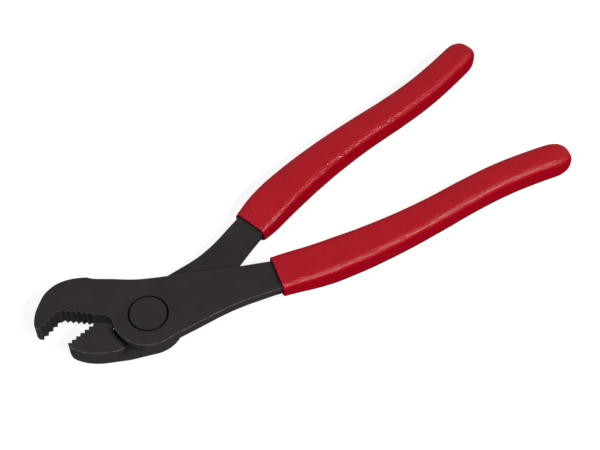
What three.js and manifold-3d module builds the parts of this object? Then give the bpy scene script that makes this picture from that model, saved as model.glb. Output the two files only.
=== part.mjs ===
// Small lap-joint pliers with a hooked, toothed upper jaw and a short toothed lower jaw, for
// battery-terminal nuts. Millimetres, +Z up. The origin is on the pivot's axis at the head's rear
// face, +X runs between the two handles, and the front lever's face looks along +Z.
//
// Each lever is drawn in its own frame: the pivot at the origin and +X along the handle's chord.
// The two levers are then turned apart about the pivot by restHalfAngle.

import * as THREE from 'three';
import Module from 'manifold-3d';
import { mergeVertices } from 'three/addons/utils/BufferGeometryUtils.js';

const wasm = await Module();
wasm.setup();

// ---- Driving dimensions -------------------------------------------------------------------

const degree = Math.PI / 180;
const restHalfAngle = 10.4 * degree;     // each handle's chord from the tool's centre line

const headThickness = 7.5;
const lapGap = 0.2;                      // between the two halves of the lap joint
const lapFloor = (headThickness - lapGap) / 2;      // the rear lever's lap face
const lapCeiling = (headThickness + lapGap) / 2;    // the front lever's lap face

const frontBossRadius = 12.1;
const rearBossRadius = 11.8;
const bossClearance = 0.25;              // between a boss and the other lever's jaw
const jawBevelRadius = 14.2;             // where the lower jaw's bevel meets its top face
const jawBevelRise = 1.2;                // from the lap face up to the start of that bevel
// The hook jaw is full thickness between a shoulder and a root, as degrees round the pivot in the
// front lever's own frame. Past hookRootRadius it widens to noseAngle, below the nose's tip.
const shoulderAngle = 98;
const hookRootAngle = 163;
const hookRootRadius = 13.5;
const noseAngle = 172;
// Where each boss runs into its own lever's edges, as degrees round the pivot.
const neckAngle = -72;                   // both necks' outer edges
const hookFloorAngle = -192;             // the front boss, inside the hook
const heelAngle = 155;                   // the rear boss, behind the lower jaw's heel
const rearNeckAngle = 48;                // the rear neck's inner edge
const chinAngle = -124;                  // the rear boss, under the lower jaw

const rivetShankRadius = 4.5;
const rivetHeadRadius = 6.25;
const rivetTailRadius = 5.6;
const rivetHeadDepth = 1.8;
const rivetTailDepth = 1.4;
const rivetClearance = 0.5;

const toothDepth = 0.9;
const hookTeeth = 6;
const noseTeeth = 4;
const lowerTeeth = 6;
const tangThickness = 3.7;
const tangEnd = 148;                     // along the handle's chord
const cavityGap = 0.35;                  // round the tang, inside its grip
const cavityEndGap = 1;                  // past the tang's end
const gripCornerRadius = 3.2;
const cavityCornerRadius = 0.5;
const tangBroad = { front: 5.7, rear: 5.3 };        // half widths: at the grip's mouth,
const tangInside = 4.1;                  // well inside the grip
const tangTip = 3.2;                     // and at the tang's end

const arcSteps = 6;                      // points along each curved stretch of an outline
const roundSteps = 48;                   // sides of a full circle
const cornerSteps = 4;                   // points round each corner of a grip's section
const overrun = 1;                       // how far a cutting solid passes the face it cuts
const toolReach = 60;                    // from the pivot, past every edge of the head
const weldDistance = 1e-4;

// ---- Handles: where each grip runs, in its own lever's frame --------------------------------

// Stations along a handle. x is along the chord and out is how far the middle lies outwards.
// width and thick are the grip's size there, and z is the height of its middle.
const middleHeight = headThickness / 2;
const mouthHeight = 5.3;                 // from the other lever's face
const frontMouth = { x: 45.1, out: 4.35, width: 14.9, thick: 6.8, z: mouthHeight };
const rearMouth = { x: 49.7, out: 1.95, width: 13.6, thick: 6.8, z: headThickness - mouthHeight };
// Beyond the mouths both handles lie this far over to the front lever's side.
const drift = 1.4;
const sharedStations = [
  { x: 57, out: 3.9, width: 14.8, thick: 8.6 },
  { x: 66, out: 4.25, width: 14.6, thick: 9.4 },
  { x: 78, out: 4.4, width: 13.9, thick: 9.4 },
  { x: 92, out: 3.8, width: 12.9, thick: 9.4 },
  { x: 106, out: 2.45, width: 12.1, thick: 9.2 },
  { x: 120, out: 0.6, width: 11.7, thick: 9.2 },
  { x: 134, out: -0.6, width: 11.5, thick: 9.2 },
  { x: 148, out: -0.55, width: 11.3, thick: 9.2 },
];
// The far end of each grip, with no station of its own.
const frontTip = 161.8;
const rearTip = 163;
const tipOut = 0.35;
// The blunt end: how far back from the tip, and what is left of the width and thickness.
const endRings = [
  { back: 8, keep: 0.98 },
  { back: 4.2, keep: 0.9 },
  { back: 1.8, keep: 0.74 },
  { back: 0.5, keep: 0.5 },
];
const endSection = { width: 11.1, thick: 9.1 };
const blendEnd = 66;                     // where the handle reaches the head's middle plane

const bisections = 40;                   // halvings that find a point on a handle's curve

function smooth(from, to, value) {
  const t = Math.min(Math.max((value - from) / (to - from), 0), 1);
  return t * t * (3 - 2 * t);
}

// A handle of the front lever (side -1) or the rear lever (side +1).
function makeHandle(mouth, tip, side) {
  const stations = [mouth];
  for (const station of sharedStations) {
    const share = smooth(mouth.x, blendEnd, station.x);
    const z = mouth.z + share * (middleHeight - mouth.z);
    stations.push({ ...station, out: station.out - side * drift, z });
  }
  const points = stations.map((station) => new THREE.Vector2(station.x, side * station.out));
  points.push(new THREE.Vector2(tip, side * tipOut - drift));
  return { line: new THREE.SplineCurve(points), stations, side, mouth, tip };
}

// The middle of the handle at a distance x along the chord, with its direction.
function pointOnHandle(handle, x) {
  let low = 0;
  let high = 1;
  for (let step = 0; step < bisections; step += 1) {
    const middle = (low + high) / 2;
    if (handle.line.getPoint(middle).x < x) low = middle;
    else high = middle;
  }
  const along = handle.line.getTangent(low);
  return { at: handle.line.getPoint(low), across: new THREE.Vector2(-along.y, along.x) };
}

// Half of the tang's width: broad at the grip's mouth, narrow inside.
function tangHalfWidth(handle, x) {
  const broad = handle.side < 0 ? tangBroad.front : tangBroad.rear;
  const inside = tangInside + (tangTip - tangInside) * smooth(blendEnd, tangEnd, x);
  return broad + (inside - broad) * smooth(handle.mouth.x, blendEnd, x);
}

const frontHandle = makeHandle(frontMouth, frontTip, -1);
const rearHandle = makeHandle(rearMouth, rearTip, 1);

// ---- Solids --------------------------------------------------------------------------------

function toSolid(geometry) {
  geometry.deleteAttribute('normal');
  geometry.deleteAttribute('uv');
  const merged = mergeVertices(geometry, weldDistance);
  return new wasm.Manifold(new wasm.Mesh({
    numProp: 3,
    vertProperties: new Float32Array(merged.attributes.position.array),
    triVerts: new Uint32Array(merged.index.array),
  }));
}

function toGeometry(solid) {
  const mesh = solid.getMesh();
  const geometry = new THREE.BufferGeometry();
  const places = new Float32Array(mesh.vertProperties);
  geometry.setAttribute('position', new THREE.BufferAttribute(places, 3));
  geometry.setIndex(new THREE.BufferAttribute(new Uint32Array(mesh.triVerts), 1));
  geometry.computeVertexNormals();
  return geometry;
}

// A plan outline standing between two heights.
function prism(shape, low, high) {
  const geometry = new THREE.ExtrudeGeometry(shape, {
    depth: high - low,
    bevelEnabled: false,
    curveSegments: arcSteps,
  });
  geometry.translate(0, 0, low);
  return toSolid(geometry);
}

// A side view, drawn as x and height, reaching across the whole tool.
function sideSlab(points) {
  const shape = new THREE.Shape(points.map(([x, z]) => new THREE.Vector2(x, z)));
  const geometry = new THREE.ExtrudeGeometry(shape, { depth: 2 * toolReach, bevelEnabled: false });
  geometry.rotateX(Math.PI / 2);
  geometry.translate(0, toolReach, 0);
  return toSolid(geometry);
}

// A round slug about the pivot's axis. The two radii differ for a cone.
function round(lowRadius, highRadius, low, high) {
  const geometry = new THREE.CylinderGeometry(highRadius, lowRadius, high - low, roundSteps);
  geometry.rotateX(Math.PI / 2);
  geometry.translate(0, 0, (low + high) / 2);
  return toSolid(geometry);
}

function onCircle(radius, angle) {
  return new THREE.Vector2(radius * Math.cos(angle * degree), radius * Math.sin(angle * degree));
}

function vectors(pairs) {
  return pairs.map(([x, y]) => new THREE.Vector2(x, y));
}

// ---- Outlines ------------------------------------------------------------------------------

// A row of V teeth from one crest to the next. The gullets lie to the right of the way along.
function cutTeeth(shape, from, to, count) {
  const step = to.clone().sub(from).divideScalar(count);
  const inward = new THREE.Vector2(step.y, -step.x).setLength(toothDepth);
  for (let tooth = 0; tooth < count; tooth += 1) {
    const crest = from.clone().addScaledVector(step, tooth);
    const gullet = crest.clone().addScaledVector(step, 0.5).add(inward);
    const next = crest.clone().add(step);
    shape.lineTo(gullet.x, gullet.y);
    shape.lineTo(next.x, next.y);
  }
}

// The tang inside a grip, out along one edge, round the end and back along the other.
// first is +1 to go out along the +Y edge.
function addTang(shape, handle, first) {
  const stations = handle.stations.map((station) => station.x);
  const edge = (x, sign) => {
    const { at, across } = pointOnHandle(handle, x);
    return at.clone().addScaledVector(across, sign * tangHalfWidth(handle, x));
  };
  for (const x of stations) {
    const point = edge(x, first);
    shape.lineTo(point.x, point.y);
  }
  for (const x of stations.reverse()) {
    const point = edge(x, -first);
    shape.lineTo(point.x, point.y);
  }
}

// The front lever: boss, hook jaw, neck and tang, clockwise from the neck's outer edge.
function frontOutline() {
  const shape = new THREE.Shape();
  const neckEdge = onCircle(frontBossRadius, neckAngle);
  const lastCrest = new THREE.Vector2(-17, 7.3);
  const cornerCrest = new THREE.Vector2(-26.45, 13.1);
  const noseTip = new THREE.Vector2(-34.2, 9.3);
  shape.moveTo(neckEdge.x, neckEdge.y);
  shape.absarc(0, 0, frontBossRadius, neckAngle * degree, hookFloorAngle * degree, true);
  shape.splineThru(vectors([[-12, 3.9], [-12.9, 5.2], [-14.7, 6.3], [lastCrest.x, lastCrest.y]]));
  cutTeeth(shape, lastCrest, cornerCrest, hookTeeth);
  cutTeeth(shape, cornerCrest, noseTip, noseTeeth);
  shape.splineThru(vectors([[-35.2, 9.8], [-35.8, 11], [-35.5, 12.8], [-33.6, 16.5], [-29.5, 21]]));
  shape.splineThru(vectors([[-26.7, 22.7], [-23.7, 23.6], [-20.6, 23.7], [-17.2, 23.1], [-13.5, 21.8]]));
  shape.splineThru(vectors([
    [-11.4, 20.2], [-5.9, 17.5], [-0.2, 14.6], [5.7, 12.4], [17.9, 8.8], [33.4, 4.3],
  ]));
  addTang(shape, frontHandle, 1);
  shape.splineThru(vectors([
    [37.2, -9.6], [30.9, -9.3], [23.5, -9.5], [12, -10.7], [neckEdge.x, neckEdge.y],
  ]));
  return shape;
}

// The lower jaw's teeth and its back, from the tip to the last tooth.
function addLowerTeeth(shape) {
  const tip = new THREE.Vector2(-25.9, 10.7);
  const heel = new THREE.Vector2(-15.1, 10.3);
  shape.moveTo(tip.x, tip.y);
  cutTeeth(shape, tip, heel, lowerTeeth);
  shape.lineTo(-13.4, 8.5);
  shape.lineTo(-12, 6.9);
}

// The lower jaw's front, from under the boss up to the tip.
function addLowerFront(shape) {
  shape.splineThru(vectors([
    [-17, -3.1], [-21.1, 0.1], [-23.7, 2.9], [-25.5, 5.8], [-26.4, 8.5], [-25.9, 10.7],
  ]));
}

// The rear lever: lower jaw, boss, neck and tang, clockwise from the jaw's tip.
function rearOutline() {
  const shape = new THREE.Shape();
  const neckEdge = onCircle(rearBossRadius, neckAngle);
  addLowerTeeth(shape);
  shape.absarc(0, 0, rearBossRadius, heelAngle * degree, rearNeckAngle * degree, true);
  shape.splineThru(vectors([
    [11.5, 8.6], [16.2, 7.7], [26.3, 5.9], [32.1, 5.6], [37.6, 5.9], [43, 6.6],
  ]));
  addTang(shape, rearHandle, 1);
  shape.splineThru(vectors([
    [43.7, -4.4], [37.6, -5.6], [25.3, -8], [12, -10.5], [neckEdge.x, neckEdge.y],
  ]));
  shape.absarc(0, 0, rearBossRadius, neckAngle * degree, chinAngle * degree, true);
  shape.lineTo(-13.7, -5.6);
  addLowerFront(shape);
  return shape;
}

// The block of the lower jaw that stands as high as the head.
function lowerJawBlock() {
  const shape = new THREE.Shape();
  addLowerTeeth(shape);
  shape.lineTo(-11, 5.4);
  shape.lineTo(-12, -1.6);
  shape.quadraticCurveTo(-13.2, -4.3, -16, -3.8);
  addLowerFront(shape);
  return shape;
}

// ---- The pieces ----------------------------------------------------------------------------

// The lever's side view from the head to the tang's end. The neck keeps to its own half of the
// head as far as neckEnd, because the two necks cross when the tool closes.
const neckStart = 30;
const neckEnd = 42;
const headReach = -45;

function frontSideView() {
  const tang = frontHandle.stations;
  const top = tang.map(({ x, z }) => [x, z + tangThickness / 2]);
  const bottom = tang.map(({ x, z }) => [x, z - tangThickness / 2]);
  const face = headThickness;
  return [
    [headReach, lapCeiling], [neckEnd, lapCeiling], ...bottom,
    ...top.reverse(), [neckStart, face], [headReach, face],
  ];
}

function rearSideView() {
  const tang = rearHandle.stations;
  const top = tang.map(({ x, z }) => [x, z + tangThickness / 2]);
  const bottom = tang.map(({ x, z }) => [x, z - tangThickness / 2]);
  return [
    [headReach, 0], [neckStart, 0], ...bottom,
    ...top.reverse(), [neckEnd, lapFloor], [headReach, lapFloor],
  ];
}

// The hook jaw is as thick as the head beyond the other lever's boss. It ends at a shoulder that
// meets the rear lever's neck when the tool is wide open.
function makeFrontLever() {
  const outline = frontOutline();
  const sector = new THREE.Shape(vectors([[0, 0]]).concat([
    onCircle(toolReach, shoulderAngle), onCircle(2 * toolReach, (shoulderAngle + noseAngle) / 2),
    onCircle(toolReach, noseAngle), onCircle(hookRootRadius, hookRootAngle),
  ]));
  const hollow = rearBossRadius + bossClearance;
  const jaw = prism(outline, 0, lapCeiling)
    .intersect(prism(sector, -overrun, headThickness))
    .subtract(round(hollow, hollow, -overrun, headThickness));
  const bore = rivetShankRadius + lapGap / 2;
  const recess = rivetHeadRadius + rivetClearance;
  const recessFloor = headThickness - rivetHeadDepth - rivetClearance;
  return prism(outline, -overrun, headThickness + overrun)
    .intersect(sideSlab(frontSideView()))
    .add(jaw)
    .subtract(round(bore, bore, -overrun, headThickness + overrun))
    .subtract(round(recess, recess, recessFloor, headThickness + overrun));
}

function makeRearLever() {
  const hollow = frontBossRadius + bossClearance;
  const block = prism(lowerJawBlock(), 0, headThickness)
    .subtract(round(hollow, hollow, lapFloor, headThickness + overrun))
    .subtract(round(hollow, jawBevelRadius, lapFloor + jawBevelRise, headThickness));
  const bore = rivetShankRadius + lapGap;
  const recess = rivetTailRadius + rivetClearance;
  return prism(rearOutline(), -overrun, headThickness)
    .intersect(sideSlab(rearSideView()))
    .add(block)
    .subtract(round(bore, bore, -overrun, headThickness))
    .subtract(round(recess, recess, -overrun, rivetTailDepth + rivetClearance));
}

// The rivet: a broad head let into the front lever, a shank, and a tail closed over behind.
function makeRivet() {
  const headFloor = headThickness - rivetHeadDepth;
  const profile = vectors([
    [0, 0], [rivetTailRadius, 0], [rivetTailRadius, rivetTailDepth], [rivetShankRadius, rivetTailDepth],
    [rivetShankRadius, headFloor], [rivetHeadRadius, headFloor], [rivetHeadRadius, headThickness],
    [0, headThickness],
  ]);
  const geometry = new THREE.LatheGeometry(profile, roundSteps);
  geometry.rotateX(Math.PI / 2);
  return toSolid(geometry);
}

// One ring of a grip: a rounded rectangle square to the handle, as points in space.
function sectionRing(handle, x, z, width, thick, radius) {
  const { at, across } = pointOnHandle(handle, x);
  const ring = [];
  const corners = [[1, 1], [-1, 1], [-1, -1], [1, -1]];
  corners.forEach(([alongWidth, alongHeight], quarter) => {
    for (let step = 0; step <= cornerSteps; step += 1) {
      const angle = (quarter + step / cornerSteps) * Math.PI / 2;
      const wide = alongWidth * (width / 2 - radius) + radius * Math.cos(angle);
      const high = alongHeight * (thick / 2 - radius) + radius * Math.sin(angle);
      ring.push([at.x + across.x * wide, at.y + across.y * wide, z + high]);
    }
  });
  return ring;
}

// A grip is a sleeve with a blind end: outer rings to the rounded end, inner rings back.
function makeGrip(handle) {
  const outer = handle.stations.map(({ x, z, width, thick }) => (
    sectionRing(handle, x, z, width, thick, gripCornerRadius)
  ));
  for (const { back, keep } of endRings) {
    const width = endSection.width * keep;
    const thick = endSection.thick * keep;
    const radius = gripCornerRadius * keep;
    outer.push(sectionRing(handle, handle.tip - back, middleHeight, width, thick, radius));
  }
  const cavityThick = tangThickness + 2 * cavityGap;
  const cavityRing = (x, z, half) => (
    sectionRing(handle, x, z, 2 * (half + cavityGap), cavityThick, cavityCornerRadius)
  );
  const inner = handle.stations.map(({ x, z }) => cavityRing(x, z, tangHalfWidth(handle, x)));
  inner.push(cavityRing(tangEnd + cavityEndGap, middleHeight, tangHalfWidth(handle, tangEnd)));
  const rings = outer.reverse().concat(inner);
  return closedSkin(rings);
}

// A closed surface through equal rings, each end closed by a fan to its middle.
function closedSkin(rings) {
  const size = rings[0].length;
  const points = rings.flat();
  const faces = [];
  for (let ring = 0; ring + 1 < rings.length; ring += 1) {
    for (let side = 0; side < size; side += 1) {
      const a = ring * size + side;
      const b = ring * size + (side + 1) % size;
      faces.push(a, a + size, b, b, a + size, b + size);
    }
  }
  const closeEnd = (start, flip) => {
    const middle = [0, 1, 2].map((axis) => (
      points.slice(start, start + size).reduce((sum, point) => sum + point[axis], 0) / size
    ));
    const centre = points.push(middle) - 1;
    for (let side = 0; side < size; side += 1) {
      const a = start + side;
      const b = start + (side + 1) % size;
      if (flip) faces.push(centre, b, a);
      else faces.push(centre, a, b);
    }
  };
  closeEnd(0, false);
  closeEnd((rings.length - 1) * size, true);
  const geometry = new THREE.BufferGeometry();
  geometry.setAttribute('position', new THREE.Float32BufferAttribute(points.flat(), 3));
  geometry.setIndex(faces);
  return toSolid(geometry);
}

// ---- The assembly --------------------------------------------------------------------------

const blackSteel = { color: 0x343031, roughness: 0.5, metalness: 0.8 };
const redVinyl = { color: 0xa6202d, roughness: 0.45, metalness: 0 };

function addPiece(group, name, solid, material) {
  const mesh = new THREE.Mesh(toGeometry(solid), new THREE.MeshStandardMaterial(material));
  mesh.name = name;
  group.add(mesh);
}

const frontHalf = new THREE.Group();
frontHalf.rotation.z = -restHalfAngle;
addPiece(frontHalf, 'front_lever', makeFrontLever(), blackSteel);
addPiece(frontHalf, 'front_grip', makeGrip(frontHandle), redVinyl);

const rearHalf = new THREE.Group();
rearHalf.rotation.z = restHalfAngle;
addPiece(rearHalf, 'rear_lever', makeRearLever(), blackSteel);
addPiece(rearHalf, 'rear_grip', makeGrip(rearHandle), redVinyl);
addPiece(rearHalf, 'pivot_rivet', makeRivet(), blackSteel);

const pliers = new THREE.Group();
pliers.add(frontHalf, rearHalf);

export default pliers;
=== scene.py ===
import math

import bmesh
import bpy
import numpy as np
from mathutils import Matrix, Vector


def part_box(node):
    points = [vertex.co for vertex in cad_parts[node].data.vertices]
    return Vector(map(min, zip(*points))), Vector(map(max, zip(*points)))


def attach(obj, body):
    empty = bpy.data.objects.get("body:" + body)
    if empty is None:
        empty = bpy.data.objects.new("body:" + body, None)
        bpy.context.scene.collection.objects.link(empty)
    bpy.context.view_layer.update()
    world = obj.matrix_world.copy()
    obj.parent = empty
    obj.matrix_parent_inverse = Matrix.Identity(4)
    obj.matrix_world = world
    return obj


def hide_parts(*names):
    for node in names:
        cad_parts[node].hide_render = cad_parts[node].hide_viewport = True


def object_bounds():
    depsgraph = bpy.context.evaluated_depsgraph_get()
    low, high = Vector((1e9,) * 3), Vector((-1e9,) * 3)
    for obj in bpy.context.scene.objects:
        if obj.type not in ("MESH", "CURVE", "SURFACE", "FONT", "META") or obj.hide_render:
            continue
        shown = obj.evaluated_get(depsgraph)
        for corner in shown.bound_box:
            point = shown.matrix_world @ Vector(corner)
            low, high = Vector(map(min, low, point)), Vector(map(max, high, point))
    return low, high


# Looks for a pair of small hook-jaw pliers: two black steel levers, a flush rivet and two red
# vinyl grips. Plan shapes are drawn in millimetres, each lever in its own frame: the pivot at the
# origin and +X along that lever's handle. The levers are then turned apart by REST_HALF_ANGLE.

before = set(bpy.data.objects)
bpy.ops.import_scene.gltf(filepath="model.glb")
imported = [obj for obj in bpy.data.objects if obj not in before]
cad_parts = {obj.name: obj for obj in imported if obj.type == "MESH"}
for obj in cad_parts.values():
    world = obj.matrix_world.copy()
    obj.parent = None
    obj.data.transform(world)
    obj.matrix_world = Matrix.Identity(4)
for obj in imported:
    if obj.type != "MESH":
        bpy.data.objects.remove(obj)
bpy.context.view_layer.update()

MM = 0.001

# ---- Sizes, in millimetres and degrees ------------------------------------------------------

REST_HALF_ANGLE = 10.4                   # each handle from the tool's centre line
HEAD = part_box("front_lever")[1].z / MM   # thickness of the head
LAP_GAP = 0.2                            # between the two halves of the lap joint
LAP_FLOOR = (HEAD - LAP_GAP) / 2
LAP_CEILING = (HEAD + LAP_GAP) / 2

RIVET_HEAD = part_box("pivot_rivet")[1].x / MM  # radii
RIVET_TAIL = 5.6
RIVET_SHANK = 4.5
RIVET_HEAD_DEPTH = 1.8
RIVET_TAIL_DEPTH = 1.4
RIVET_CLEARANCE = 0.6                    # round and under its head and tail

FRONT_BOSS = 12.1                        # radii of the joint's bosses
REAR_BOSS = 11.8
BOSS_CLEARANCE = 0.25
NECK_ANGLE = -72                         # both necks leave their boss here, on the -Y side
HOOK_FLOOR_ANGLE = -192                  # the front boss ends here, at the hook's throat
SHOULDER_ANGLE = 98                      # the hook jaw's full thickness starts here
HOOK_ROOT_ANGLE = 163                    # and ends here
HEEL_ANGLE = 153.8                       # the rear boss starts here, behind the lower jaw's heel
REAR_NECK_ANGLE = 48                     # and meets its neck here, on the +Y side
CHIN_ANGLE = -124                        # and the lower jaw's underside here
BLOCK_START_ANGLE = 153.4                # the lower jaw's hollow round the front boss
BLOCK_END_ANGLE = 187.6

TOOTH_DEPTH = 0.9
HOOK_TEETH = 6
NOSE_TEETH = 4
LOWER_TEETH = 6
EDGE = 0.34                              # rounding of the levers' outer edges
INNER_EDGE = 0.17                        # and of the hook jaw's edge in the lap joint
TOOTH_EDGE = 0.12                        # rounding of the ends of the teeth
WORN_BELOW = 0.6                         # edges rounder than this aren't rubbed bright
HOLE_EDGE = 0.1
RIVET_EDGE = 0.1
MITRE_LIMIT = 0.5                        # keeps the rounding of a sharp corner in bounds
WELD_DISTANCE = 1e-5
# The slope from the lower jaw's face down to the front boss. It fades in and out between y values.
SLOPE_RUN = 1.8
SLOPE_DROP = 2.7
SLOPE_FLATNESS = 0.7                     # 0 is a round edge, 1 a flat chamfer
SLOPE_FRONT = (-4.2, -2.6)
SLOPE_HEEL = (4.0, 6.0)
# The corner between that slope and the lower jaw's underside: a curve, its pull and its end.
CORNER_PULL = (-13.2, -4.3)
CORNER_END = (-16, -3.8)
CORNER_STEPS = 8

ARC_STEP = 3.0                           # degrees between points on an arc
SPLINE_STEPS = 8                         # points on each span of an outline's spline
HANDLE_STEPS = 20                        # and on each span of a handle's line
HOLE_SIDES = 96
BEVEL_RINGS = 4
SHARP_ANGLE = 40                         # edges that turn by more are shaded sharp

NECK_START = 30.0                        # the neck begins to slope towards the middle plane here
NECK_END = 42.0
TANG_THICKNESS = 3.7
TANG_END = 148.0
TANG_BROAD = {"front": 5.7, "rear": 5.3}  # half widths: at the grip's mouth
TANG_INSIDE = 4.1                        # from BLEND_END on
TANG_TIP = 3.2                           # at the end
BLEND_END = 66.0                         # the tang lies in the middle plane from here on

DRIFT = 1.4                              # both handles lie this far over to the front lever's side
MOUTH_HEIGHT = 5.3                       # of the front tang's middle. The rear one mirrors it
STATIONS = {                             # x (not at the end), outwards, width, thickness
    "front": (45.1, 4.35, 14.9, 6.8),
    "rear": (49.7, 1.95, 13.6, 6.8),
    "shared": (
        (57, 3.9, 14.8, 8.6),
        (66, 4.25, 14.6, 9.4),
        (78, 4.4, 13.9, 9.4),
        (92, 3.8, 12.9, 9.4),
        (106, 2.45, 12.1, 9.2),
        (120, 0.6, 11.7, 9.2),
        (134, -0.6, 11.5, 9.2),
        (148, -0.55, 11.3, 9.2),
    ),
    "end": (0.35, 11.1, 9.1),
}
GRIP_TIP = {"front": 161.8, "rear": 163.0}
GRIP_CORNER = 3.2                        # corner radius of a grip's section
SECTION_STEPS = 6                        # points on each of its corners and sides
GRIP_BODY_RINGS = 80
GRIP_END_RINGS = 14
GRIP_CROWN = 0.40                        # the middle of its broad faces above their edges
GRIP_SINK = 0.20                         # those edges below the grip's full thickness
GRIP_RIM = 0.25                          # rounding at its mouth
GRIP_END = 8.0                           # length of its rounded end
END_FULLNESS = 2.4                       # 2 is a round end, more is blunter
CAVITY_GAP = 0.35                        # round the tang
CAVITY_END_GAP = 1.0                     # past its end
CAVITY_CORNER = 0.5


# ---- Curves ---------------------------------------------------------------------------------


def smooth(low, high, value):
    """From 0 at low to 1 at high, level at both."""
    t = min(max((value - low) / (high - low), 0.0), 1.0)
    return t * t * (3 - 2 * t)


def spline_point(points, index, t):
    """A point on span index of a uniform Catmull-Rom spline."""
    last = len(points) - 1
    a, b = points[max(index - 1, 0)], points[index]
    c, d = points[index + 1], points[min(index + 2, last)]
    lead, follow = (c - a) / 2, (d - b) / 2
    return (
        b * (2 * t**3 - 3 * t**2 + 1)
        + c * (3 * t**2 - 2 * t**3)
        + lead * (t**3 - 2 * t**2 + t)
        + follow * (t**3 - t**2)
    )


def on_circle(radius, angle):
    turn = math.radians(angle)
    return Vector((radius * math.cos(turn), radius * math.sin(turn)))


class Outline:
    """A plan outline drawn clockwise, with the rounding of its edge at each point."""

    def __init__(self, start):
        self.points = [Vector(start)]
        self.edges = [EDGE]

    def to(self, *points, edge=EDGE):
        for point in points:
            self.points.append(Vector(point))
            self.edges.append(edge)

    def spline(self, *points, edge=EDGE):
        through = [self.points[-1]] + [Vector(point) for point in points]
        for index in range(len(through) - 1):
            for step in range(1, SPLINE_STEPS + 1):
                self.to(spline_point(through, index, step / SPLINE_STEPS), edge=edge)

    def arc(self, radius, start, end):
        steps = max(1, round(abs(end - start) / ARC_STEP))
        for step in range(1, steps + 1):
            self.to(on_circle(radius, start + (end - start) * step / steps))

    def teeth(self, end, count):
        """V teeth from the pen to end. The gullets lie to the right of the way along."""
        start = self.points[-1].copy()
        step = (Vector(end) - start) / count
        inward = Vector((step.y, -step.x)).normalized() * TOOTH_DEPTH
        self.edges[-1] = TOOTH_EDGE
        for tooth in range(count):
            crest = start + step * tooth
            self.to(crest + step / 2 + inward, crest + step, edge=TOOTH_EDGE)

    def split(self, angle):
        """Adds a point where the outline first crosses a ray from the pivot. Returns its index."""
        ray = on_circle(1, angle)
        side = [ray.cross(point) for point in self.points]
        for index in range(1, len(side)):
            ahead = ray.dot(self.points[index]) > 0
            if ahead and side[index - 1] * side[index] < 0:
                share = side[index - 1] / (side[index - 1] - side[index])
                point = self.points[index - 1].lerp(self.points[index], share)
                self.points.insert(index, point)
                self.edges.insert(index, self.edges[index])
                return index
        raise ValueError(f"the outline doesn't cross {angle} degrees")


# ---- Handles --------------------------------------------------------------------------------


class Handle:
    """The line of a handle, and the section of its grip and tang at each distance along it."""

    def __init__(self, name, side):
        rows = [STATIONS[name]]
        rows += [(x, out - side * DRIFT, wide, thick) for x, out, wide, thick in STATIONS["shared"]]
        out, wide, thick = STATIONS["end"]
        rows.append((GRIP_TIP[name], out - side * DRIFT, wide, thick))
        self.mouth = rows[0][0]
        self.tip = rows[-1][0]
        self.stations = [row[0] for row in rows[:-1]]
        self.broad = TANG_BROAD[name]
        self.mouth_height = MOUTH_HEIGHT if name == "front" else HEAD - MOUTH_HEIGHT
        knots = [Vector((x, side * out, wide, thick)) for x, out, wide, thick in rows]
        fine = []
        for index in range(len(knots) - 1):
            for step in range(HANDLE_STEPS):
                fine.append(spline_point(knots, index, step / HANDLE_STEPS))
        fine.append(knots[-1])
        self.fine_x = np.array([point[0] for point in fine])
        self.fine_rest = np.array([point[1:] for point in fine])

    def at(self, x):
        """(middle y, grip width, grip thickness) at x."""
        return [float(np.interp(x, self.fine_x, column)) for column in self.fine_rest.T]

    def across(self, x):
        """The direction square to the handle in plan."""
        reach = 0.5
        before, after = max(x - reach, self.mouth), min(x + reach, self.tip)
        rise = self.at(after)[0] - self.at(before)[0]
        return Vector((-rise, after - before)).normalized()

    def height(self, x):
        """Height of the tang's middle plane."""
        share = smooth(self.mouth, BLEND_END, x)
        return self.mouth_height + share * (HEAD / 2 - self.mouth_height)

    def tang_half(self, x):
        inside = TANG_INSIDE + (TANG_TIP - TANG_INSIDE) * smooth(BLEND_END, TANG_END, x)
        return self.broad + (inside - self.broad) * smooth(self.mouth, BLEND_END, x)

    def tang_edge(self, x, sign):
        middle = Vector((x, self.at(x)[0]))
        return middle + self.across(x) * sign * self.tang_half(x)

    def add_tang(self, outline):
        """Out along the tang's +Y edge and back along the other."""
        outline.to(*(self.tang_edge(x, 1) for x in self.stations))
        outline.to(*(self.tang_edge(x, -1) for x in reversed(self.stations)))


front_handle = Handle("front", -1)
rear_handle = Handle("rear", 1)


# ---- Plates: walls with rounded edges and flat faces ------------------------------------------


def inset_directions(points):
    """At each point of a clockwise loop, the step that moves both of its edges inwards by 1."""
    corners = np.array([point[:] for point in points])
    ahead = np.roll(corners, -1, axis=0) - corners
    ahead /= np.linalg.norm(ahead, axis=1)[:, None]
    right = np.stack([ahead[:, 1], -ahead[:, 0]], axis=1)
    before = np.roll(right, 1, axis=0)
    middle = right + before
    middle /= np.linalg.norm(middle, axis=1)[:, None]
    return middle / np.maximum((middle * right).sum(axis=1), MITRE_LIMIT)[:, None]


def edge_profile(shape):
    """(inset, drop) of each ring from a wall to its flat face, as shares of run and drop. shape is
    0 for a round edge and 1 for a flat one, one for all points or one for each."""
    shape = np.array(shape)
    rows = []
    for ring in range(BEVEL_RINGS):
        t = ring / (BEVEL_RINGS - 1)
        turn = t * math.pi / 2
        inset = (1 - shape) * (1 - math.cos(turn)) + shape * t
        drop = (1 - shape) * (1 - math.sin(turn)) + shape * (1 - t)
        rows.append((inset, drop))
    return rows


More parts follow.
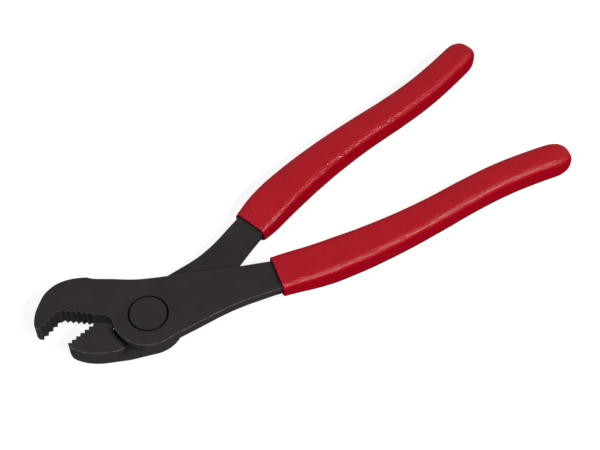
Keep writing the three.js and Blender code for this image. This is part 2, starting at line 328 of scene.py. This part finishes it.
class Plate:
    """Collects walls and flat faces in one mesh, in millimetres."""

    def __init__(self):
        self.mesh = bmesh.new()
        self.wear_and_shade = self.mesh.verts.layers.float.new("wear_and_shade")

    def ring(self, places, wear_and_shade=0.0):
        """A loop of points. Its mark, one for all or one for each, is read by the materials: 1 on
        rubbed steel edges, and painted shade in the grips' cavities and mouths.
        """
        verts = [self.mesh.verts.new(place) for place in places]
        for vert, wear_and_shade_value in zip(verts, np.broadcast_to(wear_and_shade, len(verts))):
            vert[self.wear_and_shade] = float(wear_and_shade_value)
        return verts

    def skin(self, rings):
        """Faces between each ring and the next."""
        for low, high in zip(rings, rings[1:]):
            for index in range(len(low)):
                after = (index + 1) % len(low)
                self.mesh.faces.new((low[index], low[after], high[after], high[index]))

    def wall(self, points, start, end, runs, drops=None, shape=0.0):
        """A closed wall from height start to height end, rounded at end: runs are how far the
        rounding goes in at each point, and drops how far along the wall, or the same. Narrow
        roundings are marked as rubbed bright. Returns the rings at its two ends."""
        rings = [self.ring([(p.x, p.y, start) for p in points])]
        sign = 1 if end > start else -1
        runs, drops = np.array(runs), np.array(runs if drops is None else drops)
        inward = inset_directions(points)
        places = np.array([point[:] for point in points])
        for number, (inset, drop) in enumerate(edge_profile(shape)):
            moved = places + inward * (runs * inset)[:, None]
            heights = end - sign * drops * drop
            on_edge = 0 < number < BEVEL_RINGS - 1
            wear_and_shade_value = np.where(on_edge & (runs < WORN_BELOW), 1.0, 0.0)
            rings.append(self.ring(np.column_stack([moved, heights]), wear_and_shade_value))
        self.skin(rings)
        return rings[0], rings[-1]

    def hole(self, profile):
        """A round hole about the pivot. profile is (radius, height) from one mouth to the other."""
        rings = []
        for radius, height in profile:
            circle = [on_circle(radius, 360 * side / HOLE_SIDES) for side in range(HOLE_SIDES)]
            rings.append(self.ring([(p.x, p.y, height) for p in circle]))
        self.skin(rings)
        return rings[0], rings[-1]

    def fill(self, *loops):
        """A flat face inside the first loop and round the others."""
        edges = []
        for loop in loops:
            for a, b in zip(loop, loop[1:] + loop[:1]):
                edges.append(self.mesh.edges.get((a, b)) or self.mesh.edges.new((a, b)))
        bmesh.ops.triangle_fill(self.mesh, edges=edges, use_beauty=True, normal=(0, 0, 1))

    def close(self):
        bmesh.ops.remove_doubles(self.mesh, verts=self.mesh.verts, dist=WELD_DISTANCE)
        bmesh.ops.recalc_face_normals(self.mesh, faces=self.mesh.faces)


def follow_side_view(plate, top, bottom):
    """Bends the neck and tang to the side view. top and bottom are (x, height) lines."""
    top_x, top_z = zip(*top)
    bottom_x, bottom_z = zip(*bottom)
    for x in sorted({*top_x, *bottom_x}):
        if NECK_START < x < top_x[-1]:
            bmesh.ops.bisect_plane(
                plate.mesh,
                geom=[*plate.mesh.verts, *plate.mesh.edges, *plate.mesh.faces],
                plane_co=(x, 0, 0),
                plane_no=(1, 0, 0),
            )
    low, high = bottom_z[0], top_z[0]
    for vert in plate.mesh.verts:
        if vert.co.x > NECK_START:
            share = (vert.co.z - low) / (high - low)
            floor = np.interp(vert.co.x, bottom_x, bottom_z)
            vert.co.z = floor + share * (np.interp(vert.co.x, top_x, top_z) - floor)


# ---- The front lever --------------------------------------------------------------------------


def front_outline():
    neck_edge = on_circle(FRONT_BOSS, NECK_ANGLE)
    outline = Outline(neck_edge)
    outline.arc(FRONT_BOSS, NECK_ANGLE, HOOK_FLOOR_ANGLE)
    outline.spline((-12, 3.9), (-12.9, 5.2), (-14.7, 6.3), (-17, 7.3), edge=TOOTH_EDGE)
    outline.teeth((-26.45, 13.1), HOOK_TEETH)
    outline.teeth((-34.2, 9.3), NOSE_TEETH)
    outline.spline(
        (-35.2, 9.8), (-35.8, 11), (-35.5, 12.8), (-33.6, 16.5), (-29.5, 21), (-26.7, 22.7),
        (-23.7, 23.6), (-20.6, 23.7), (-17.2, 23.1), (-13.5, 21.8),
    )
    outline.spline(
        (-11.4, 20.2), (-5.9, 17.5), (-0.2, 14.6), (5.7, 12.4), (17.9, 8.8), (33.4, 4.3),
    )
    front_handle.add_tang(outline)
    outline.spline((37.2, -9.6), (30.9, -9.3), (23.5, -9.5), (12, -10.7), neck_edge)
    outline.points.pop()
    outline.edges.pop()
    return outline


def front_lever():
    outline = front_outline()
    root = outline.split(HOOK_ROOT_ANGLE)
    shoulder = outline.split(SHOULDER_ANGLE)
    outer, outer_edges = outline.points[root:shoulder + 1], outline.edges[root:shoulder + 1]
    hollow = Outline(on_circle(REAR_BOSS + BOSS_CLEARANCE, SHOULDER_ANGLE))
    hollow.arc(REAR_BOSS + BOSS_CLEARANCE, SHOULDER_ANGLE, HOOK_ROOT_ANGLE)
    inner = hollow.points
    plate = Plate()
    lap, top = plate.wall(outline.points, LAP_CEILING, HEAD, outline.edges)
    jaw_edges = outer_edges + [INNER_EDGE] * len(inner)
    jaw_lap, jaw_floor = plate.wall(outer + inner, LAP_CEILING, 0, jaw_edges)
    bore = RIVET_SHANK + LAP_GAP / 2
    recess = RIVET_HEAD + RIVET_CLEARANCE
    floor = HEAD - RIVET_HEAD_DEPTH - RIVET_CLEARANCE
    mouth, back = plate.hole([
        (recess + HOLE_EDGE, HEAD), (recess, HEAD - HOLE_EDGE), (recess, floor), (bore, floor),
        (bore, LAP_CEILING),
    ])
    plate.fill(top, mouth)
    plate.fill(jaw_floor)
    lap_loop = lap[:root + 1] + jaw_lap[len(outer):][::-1] + lap[shoulder:]
    plate.fill(lap_loop, back)
    plate.close()
    tang = [(x, front_handle.height(x)) for x in front_handle.stations]
    half = TANG_THICKNESS / 2
    follow_side_view(
        plate,
        top=[(NECK_START, HEAD)] + [(x, z + half) for x, z in tang],
        bottom=[(NECK_END, LAP_CEILING)] + [(x, z - half) for x, z in tang],
    )
    return plate


# ---- The rear lever ---------------------------------------------------------------------------


def rear_outline():
    """The outline, and the indices of the lower jaw's two ends on it: its heel and its chin."""
    outline = Outline((-25.9, 10.7))
    outline.teeth((-15.1, 10.3), LOWER_TEETH)
    outline.to((-13.4, 8.5), (-12, 6.9))
    heel = len(outline.points) - 1
    outline.to(on_circle(REAR_BOSS, HEEL_ANGLE))
    outline.arc(REAR_BOSS, HEEL_ANGLE, REAR_NECK_ANGLE)
    outline.spline((11.5, 8.6), (16.2, 7.7), (26.3, 5.9), (32.1, 5.6), (37.6, 5.9), (43, 6.6))
    rear_handle.add_tang(outline)
    neck_edge = on_circle(REAR_BOSS, NECK_ANGLE)
    outline.spline((43.7, -4.4), (37.6, -5.6), (25.3, -8), (12, -10.5), neck_edge)
    outline.arc(REAR_BOSS, NECK_ANGLE, CHIN_ANGLE)
    outline.to((-13.7, -5.6))
    outline.spline((-17, -3.1))
    chin = len(outline.points) - 1
    outline.spline((-21.1, 0.1), (-23.7, 2.9), (-25.5, 5.8), (-26.4, 8.5), (-25.9, 10.7))
    outline.points.pop()
    outline.edges.pop()
    return outline, heel, chin


def rear_lever():
    outline, heel, chin = rear_outline()
    hollow = FRONT_BOSS + BOSS_CLEARANCE
    plate = Plate()
    lap, under = plate.wall(outline.points, LAP_FLOOR, 0, outline.edges)
    outer = outline.points[chin:] + outline.points[:heel + 1]
    inner = Outline(on_circle(hollow, BLOCK_START_ANGLE))
    inner.arc(hollow, BLOCK_START_ANGLE, BLOCK_END_ANGLE)
    corner, pull, end = inner.points[-1], Vector(CORNER_PULL), Vector(CORNER_END)
    for step in range(1, CORNER_STEPS):
        t = step / CORNER_STEPS
        inner.to(corner * (1 - t) ** 2 + pull * 2 * t * (1 - t) + end * t * t)
    edges = outline.edges[chin:] + outline.edges[:heel + 1]
    runs, drops, flatness = list(edges), list(edges), [0.0] * len(edges)
    for point in inner.points:
        depth = smooth(*SLOPE_FRONT, point.y) * (1 - smooth(*SLOPE_HEEL, point.y))
        runs.append(EDGE + (SLOPE_RUN - EDGE) * depth)
        drops.append(EDGE + (SLOPE_DROP - EDGE) * depth)
        flatness.append(SLOPE_FLATNESS * depth)
    block = outer + inner.points
    block_lap, block_top = plate.wall(block, LAP_FLOOR, HEAD, runs, drops, flatness)
    bore = RIVET_SHANK + LAP_GAP
    recess = RIVET_TAIL + RIVET_CLEARANCE
    floor = RIVET_TAIL_DEPTH + RIVET_CLEARANCE
    mouth, back = plate.hole([
        (recess + HOLE_EDGE, 0), (recess, HOLE_EDGE), (recess, floor), (bore, floor),
        (bore, LAP_FLOOR),
    ])
    plate.fill(under, mouth)
    plate.fill(block_top)
    lap_loop = lap[heel:chin + 1] + block_lap[len(outer):][::-1]
    plate.fill(lap_loop, back)
    plate.close()
    tang = [(x, rear_handle.height(x)) for x in rear_handle.stations]
    half = TANG_THICKNESS / 2
    follow_side_view(
        plate,
        top=[(NECK_END, LAP_FLOOR)] + [(x, z + half) for x, z in tang],
        bottom=[(NECK_START, 0)] + [(x, z - half) for x, z in tang],
    )
    return plate


# ---- The rivet --------------------------------------------------------------------------------


def rivet():
    plate = Plate()
    shelf = HEAD - RIVET_HEAD_DEPTH
    top, tail = plate.hole([
        (RIVET_HEAD - RIVET_EDGE, HEAD), (RIVET_HEAD, HEAD - RIVET_EDGE), (RIVET_HEAD, shelf),
        (RIVET_SHANK, shelf), (RIVET_SHANK, RIVET_TAIL_DEPTH), (RIVET_TAIL, RIVET_TAIL_DEPTH),
        (RIVET_TAIL, RIVET_EDGE), (RIVET_TAIL - RIVET_EDGE, 0),
    ])
    plate.fill(top)
    plate.fill(tail)
    plate.close()
    return plate


# ---- The grips --------------------------------------------------------------------------------


def section(width, thick, radius, crown):
    """A rounded rectangle as (across, up) points. The middle of its broad faces stands crown above
    their edges, which sink below the full thickness in the ratio of GRIP_SINK to GRIP_CROWN."""
    points = []
    half_w, half_t = width / 2 - radius, thick / 2 - radius
    corners = ((1, 1), (-1, 1), (-1, -1), (1, -1))
    for quarter, (right, up) in enumerate(corners):
        for step in range(SECTION_STEPS + 1):
            turn = (quarter + step / SECTION_STEPS) * math.pi / 2
            x = right * half_w + radius * math.cos(turn)
            y = up * half_t + radius * math.sin(turn)
            points.append((x, y))
        next_right, next_up = corners[(quarter + 1) % 4]
        turn = (quarter + 1) * math.pi / 2
        for step in range(1, SECTION_STEPS):
            t = step / SECTION_STEPS
            x = (right + (next_right - right) * t) * half_w + radius * math.cos(turn)
            y = (up + (next_up - up) * t) * half_t + radius * math.sin(turn)
            points.append((x, y))
    lifted = []
    for x, y in points:
        share = max(0.0, 1 - (2 * x / width) ** 2) - GRIP_SINK / GRIP_CROWN
        lifted.append((x, y + math.copysign(crown, y) * share * (2 * abs(y) / thick) ** 4))
    return lifted


def grip_ring(plate, handle, x, width, thick, radius, crown, wear_and_shade=0.0):
    """A section of a grip, or of the cavity in it, square across the handle at x."""
    middle, across = Vector((x, handle.at(x)[0])), handle.across(x)
    height = handle.height(x)
    places = []
    for wide, up in section(width, thick, radius, crown):
        point = middle + across * wide
        places.append((point.x, point.y, height + up))
    return plate.ring(places, wear_and_shade)


def grip(handle):
    plate = Plate()
    rings = []
    # The cavity, from its blind end out to the mouth. Its rings are marked 1, which the vinyl paints
    # as shade.
    thick = TANG_THICKNESS + 2 * CAVITY_GAP
    for x in [TANG_END + CAVITY_END_GAP, *reversed(handle.stations)]:
        width = 2 * (handle.tang_half(min(x, TANG_END)) + CAVITY_GAP)
        rings.append(grip_ring(plate, handle, x, width, thick, CAVITY_CORNER, 0, wear_and_shade=1.0))
    # The rounded rim.
    _, mouth_width, mouth_thick = handle.at(handle.mouth)
    for ring in range(BEVEL_RINGS):
        turn = ring / (BEVEL_RINGS - 1) * math.pi / 2
        inset = GRIP_RIM * (1 - math.sin(turn))
        x = handle.mouth + GRIP_RIM * (1 - math.cos(turn))
        size = (mouth_width - 2 * inset, mouth_thick - 2 * inset)
        rings.append(grip_ring(plate, handle, x, *size, GRIP_CORNER - inset, 0))
    # The body.
    body_start, body_end = handle.mouth + GRIP_RIM, handle.tip - GRIP_END
    for step in range(1, GRIP_BODY_RINGS + 1):
        x = body_start + (body_end - body_start) * step / GRIP_BODY_RINGS
        _, width, thick = handle.at(x)
        crown = GRIP_CROWN * smooth(handle.mouth, BLEND_END, x)
        rings.append(grip_ring(plate, handle, x, width, thick, GRIP_CORNER, crown))
    # The blunt end.
    for step in range(1, GRIP_END_RINGS):
        reach = math.sin(step / GRIP_END_RINGS * math.pi / 2)
        keep = (1 - reach**END_FULLNESS) ** (1 / END_FULLNESS)
        x = body_end + GRIP_END * reach
        _, width, thick = handle.at(x)
        size = (width * keep, thick * keep)
        rings.append(grip_ring(plate, handle, x, *size, GRIP_CORNER * keep, GRIP_CROWN * keep))
    plate.skin(rings)
    # The cavity's blind end and the grip's tip.
    for ring in (rings[0], rings[-1]):
        middle = sum((vert.co for vert in ring), Vector()) / len(ring)
        hub = plate.mesh.verts.new(middle)
        for a, b in zip(ring, ring[1:] + ring[:1]):
            plate.mesh.faces.new((a, b, hub))
    plate.close()
    return plate


# ---- Materials --------------------------------------------------------------------------------


class Nodes:
    """Short names for building a material's nodes."""

    def __init__(self, name):
        self.material = bpy.data.materials.new(name)
        self.material.use_nodes = True
        self.tree = self.material.node_tree
        self.shader = self.tree.nodes["Principled BSDF"]
        self.place = self.add("ShaderNodeTexCoord").outputs["Object"]

    def add(self, kind, **values):
        node = self.tree.nodes.new(kind)
        for key, value in values.items():
            setattr(node, key, value)
        return node

    def link(self, output, socket):
        self.tree.links.new(output, socket)

    def noise(self, size_mm, detail=2.0, roughness=0.5):
        node = self.add("ShaderNodeTexNoise")
        node.inputs["Scale"].default_value = 1 / (size_mm * MM)
        node.inputs["Detail"].default_value = detail
        node.inputs["Roughness"].default_value = roughness
        self.link(self.place, node.inputs["Vector"])
        return node.outputs["Fac"]

    def spread(self, value, low, high, to_low=0.0, to_high=1.0):
        """Maps low..high to to_low..to_high and clamps it."""
        node = self.add("ShaderNodeMapRange")
        node.inputs["From Min"].default_value = low
        node.inputs["From Max"].default_value = high
        node.inputs["To Min"].default_value = to_low
        node.inputs["To Max"].default_value = to_high
        self.link(value, node.inputs["Value"])
        return node.outputs["Result"]

    def mix(self, factor, first, second):
        node = self.add("ShaderNodeMix", data_type="RGBA")
        self.link(factor, node.inputs["Factor"])
        for socket, colour in ((node.inputs[6], first), (node.inputs[7], second)):
            if isinstance(colour, tuple):
                socket.default_value = (*colour, 1)
            else:
                self.link(colour, socket)
        return node.outputs[2]

    def math(self, operation, first, second):
        """first is an output, and second an output or a number."""
        node = self.add("ShaderNodeMath", operation=operation)
        for socket, value in zip(node.inputs, (first, second)):
            if isinstance(value, float):
                socket.default_value = value
            else:
                self.link(value, socket)
        return node.outputs[0]

    def broad_faces(self, wall, face):
        """0 on upright walls and 1 on level faces, by how far the normal points up or down: 0 up to
        wall, and 1 from face on."""
        split = self.add("ShaderNodeSeparateXYZ")
        self.link(self.add("ShaderNodeNewGeometry").outputs["Normal"], split.inputs[0])
        return self.spread(self.math("ABSOLUTE", split.outputs["Z"], 0.0), wall, face)

    def bump(self, height, depth_mm, normal=None, strength=None):
        node = self.add("ShaderNodeBump")
        node.inputs["Strength"].default_value = 1.0
        if strength is not None:
            self.link(strength, node.inputs["Strength"])
        node.inputs["Distance"].default_value = depth_mm * MM
        self.link(height, node.inputs["Height"])
        if normal is not None:
            self.link(normal, node.inputs["Normal"])
        return node.outputs["Normal"]


def black_steel(name):
    """Forged steel under a satin black oxide, rubbed brighter along its edges, with painted shade on
    its upright walls.
    """
    nodes = Nodes(name)
    shader = nodes.shader
    mottle = nodes.spread(nodes.noise(7, detail=3), 0.3, 0.7)
    grain = nodes.noise(0.35)
    speck = nodes.spread(nodes.noise(0.12, detail=1), 0.35, 0.7)
    oxide = nodes.mix(mottle, (0.0325, 0.0290, 0.0310), (0.0422, 0.0380, 0.0405))
    oxide = nodes.mix(nodes.math("MULTIPLY", speck, 0.35), oxide, (0.064, 0.056, 0.058))
    # Painted shade: upright walls get a darker, purplish oxide than the flat faces.
    walls = nodes.spread(nodes.broad_faces(0.75, 0.97), 0, 1, to_low=0.8, to_high=0.0)
    oxide = nodes.mix(walls, oxide, (0.0320, 0.0272, 0.0340))
    wear_and_shade = nodes.add("ShaderNodeAttribute", attribute_name="wear_and_shade").outputs["Fac"]
    patches = nodes.spread(nodes.noise(0.9, detail=4, roughness=0.7), 0.38, 0.68)
    rubbed = nodes.math("MULTIPLY", wear_and_shade, patches)
    colour = nodes.mix(rubbed, oxide, (0.19, 0.18, 0.18))
    nodes.link(colour, shader.inputs["Base Color"])
    rough = nodes.spread(nodes.noise(1.1, detail=3), 0.3, 0.7, to_low=0.48, to_high=0.62)
    nodes.link(rough, shader.inputs["Roughness"])
    nodes.link(nodes.math("MULTIPLY", rubbed, 0.8), shader.inputs["Metallic"])
    gloss = nodes.spread(nodes.broad_faces(0.5, 0.8), 0, 1, to_low=0.02, to_high=0.12)
    nodes.link(gloss, shader.inputs["Specular IOR Level"])
    soft = nodes.bump(nodes.noise(2.6), depth_mm=0.030)
    nodes.link(nodes.bump(grain, depth_mm=0.010, normal=soft), shader.inputs["Normal"])
    return nodes.material


def red_vinyl(name):
    """Dipped soft vinyl with a fine leathery skin, shinier on its broad faces. Its upright walls,
    cavity and mouth get painted shade.
    """
    nodes = Nodes(name)
    shader = nodes.shader
    tone = nodes.spread(nodes.noise(9, detail=3), 0.3, 0.7)
    colour = nodes.mix(tone, (0.530, 0.0085, 0.0220), (0.590, 0.0115, 0.0260))
    pores = nodes.spread(nodes.noise(0.55), 0.3, 0.55, to_low=0.35, to_high=0.0)
    colour = nodes.mix(pores, colour, (0.370, 0.0035, 0.0150))
    # Painted shade: upright walls get a darker red than the broad faces.
    walls = nodes.spread(nodes.broad_faces(0.5, 0.9), 0, 1, to_low=0.9, to_high=0.0)
    colour = nodes.mix(walls, colour, (0.300, 0.0012, 0.0105))
    # Painted shade: near-black in the grip's cavity and across its mouth, where the mark is 1.
    mouth_shade = nodes.add("ShaderNodeAttribute", attribute_name="wear_and_shade").outputs["Fac"]
    colour = nodes.mix(mouth_shade, colour, (0.012, 0.002, 0.003))
    nodes.link(colour, shader.inputs["Base Color"])
    rough = nodes.spread(nodes.noise(0.8, detail=3), 0.3, 0.7, to_low=0.12, to_high=0.19)
    nodes.link(rough, shader.inputs["Roughness"])
    gloss = nodes.spread(nodes.broad_faces(0.68, 0.82), 0, 1, to_low=0.0, to_high=0.42)
    nodes.link(gloss, shader.inputs["Specular IOR Level"])
    rough_skin = nodes.spread(nodes.broad_faces(0.6, 0.85), 0, 1, to_low=0.1, to_high=1.0)
    skin = nodes.bump(nodes.noise(0.6), depth_mm=0.29, strength=rough_skin)
    soft = nodes.bump(nodes.noise(4.5), depth_mm=0.02, normal=skin)
    nodes.link(soft, shader.inputs["Normal"])
    return nodes.material


def pale_floor(name):
    """A matt floor that glows, so that it comes out white and its shadows stay faint."""
    nodes = Nodes(name)
    shader = nodes.shader
    tint = nodes.spread(nodes.noise(300, detail=1), 0.3, 0.7)
    colour = nodes.mix(tint, (0.36, 0.36, 0.365), (0.38, 0.38, 0.385))
    nodes.link(colour, shader.inputs["Base Color"])
    shader.inputs["Roughness"].default_value = 0.8
    shader.inputs["Specular IOR Level"].default_value = 0.1
    shader.inputs["Emission Color"].default_value = (1, 1, 1, 1)
    shader.inputs["Emission Strength"].default_value = 0.82
    return nodes.material


# ---- Pieces -----------------------------------------------------------------------------------


def show(plate, name, angle, material, node, body):
    """Turns a plate into the piece that stands for a CAD node."""
    mesh = bpy.data.meshes.new(name)
    place = Matrix.Rotation(math.radians(angle), 4, "Z") @ Matrix.Scale(MM, 4)
    plate.mesh.transform(place)
    plate.mesh.to_mesh(mesh)
    plate.mesh.free()
    mesh.shade_smooth()
    mesh.set_sharp_from_angle(angle=math.radians(SHARP_ANGLE))
    mesh.materials.append(material)
    piece = bpy.data.objects.new(name, mesh)
    bpy.context.collection.objects.link(piece)
    weighted = piece.modifiers.new("flat_faces", "WEIGHTED_NORMAL")
    weighted.keep_sharp = True
    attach(piece, body)
    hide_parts(node)


def show_pieces():
    steel = (black_steel("black_steel"), "black_steel")
    vinyl = (red_vinyl("red_vinyl"), "red_vinyl")
    front, rear = (-REST_HALF_ANGLE, "front_half"), (REST_HALF_ANGLE, "rear_half")
    rows = (
        (front_lever(), "hook_jaw_lever", front, steel, "front_lever"),
        (rear_lever(), "lower_jaw_lever", rear, steel, "rear_lever"),
        (rivet(), "flush_rivet", rear, steel, "pivot_rivet"),
        (grip(front_handle), "front_vinyl_grip", front, vinyl, "front_grip"),
        (grip(rear_handle), "rear_vinyl_grip", rear, vinyl, "rear_grip"),
    )
    for plate, name, (angle, body), (material, slot), node in rows:
        show(plate, name, angle, material, node, body)


show_pieces()


# ---- Floor, light and camera ------------------------------------------------------------------


FLOOR_SIZE = 40                          # metres
WORLD_STRENGTH = 0.18
MIDDLE = (0.06, 0, 0)                    # metres. The lights are aimed here
COOL_WHITE = (0.93, 0.97, 1.0)
WARM_WHITE = (1.0, 0.88, 0.78)
LENS = 87.24
SENSOR = 36
CAMERA_PLACE = (-98.35, -223.8, 427.3)   # millimetres
CAMERA_TARGET = (61.27, -1.0, 7.5)


def add_floor():
    """A wide pale floor at the lowest point. Glossy rays pass it, so no edge mirrors it."""
    bpy.ops.mesh.primitive_grid_add(x_subdivisions=8, y_subdivisions=8, size=FLOOR_SIZE)
    floor = bpy.context.object
    floor.name = "floor"
    floor.location = (0, 0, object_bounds()[0].z)
    floor.data.materials.append(pale_floor("pale_floor"))
    floor.visible_glossy = False


def aim(thing, target):
    thing.rotation_euler = (Vector(target) - thing.location).to_track_quat("-Z", "Y").to_euler()


def add_light(name, place, size, power, colour):
    data = bpy.data.lights.new(name, "AREA")
    data.shape = "RECTANGLE"
    data.size, data.size_y = size
    data.energy = power
    data.color = colour
    lamp = bpy.data.objects.new(name, data)
    lamp.location = place
    bpy.context.collection.objects.link(lamp)
    aim(lamp, MIDDLE)


def add_camera():
    data = bpy.data.cameras.new("camera")
    data.lens = LENS
    data.sensor_width = SENSOR
    camera = bpy.data.objects.new("camera", data)
    camera.location = Vector(CAMERA_PLACE) * MM
    bpy.context.collection.objects.link(camera)
    aim(camera, Vector(CAMERA_TARGET) * MM)
    bpy.context.scene.camera = camera


def set_world():
    world = bpy.data.worlds.new("studio")
    world.use_nodes = True
    background = world.node_tree.nodes["Background"]
    background.inputs["Color"].default_value = (1, 1, 1, 1)
    background.inputs["Strength"].default_value = WORLD_STRENGTH
    bpy.context.scene.world = world


add_floor()
# The softbox stays low so that the flat tops don't mirror it. The strip draws the line of light
# along the grips' near corners.
add_light("left_softbox", (-0.85, 0.1, 0.62), size=(0.5, 0.5), power=3.5, colour=COOL_WHITE)
add_light("front_strip", (0.32, -0.62, 0.75), size=(0.8, 0.02), power=6.2, colour=WARM_WHITE)
set_world()
add_camera()
bpy.context.scene.view_settings.view_transform = "Standard"
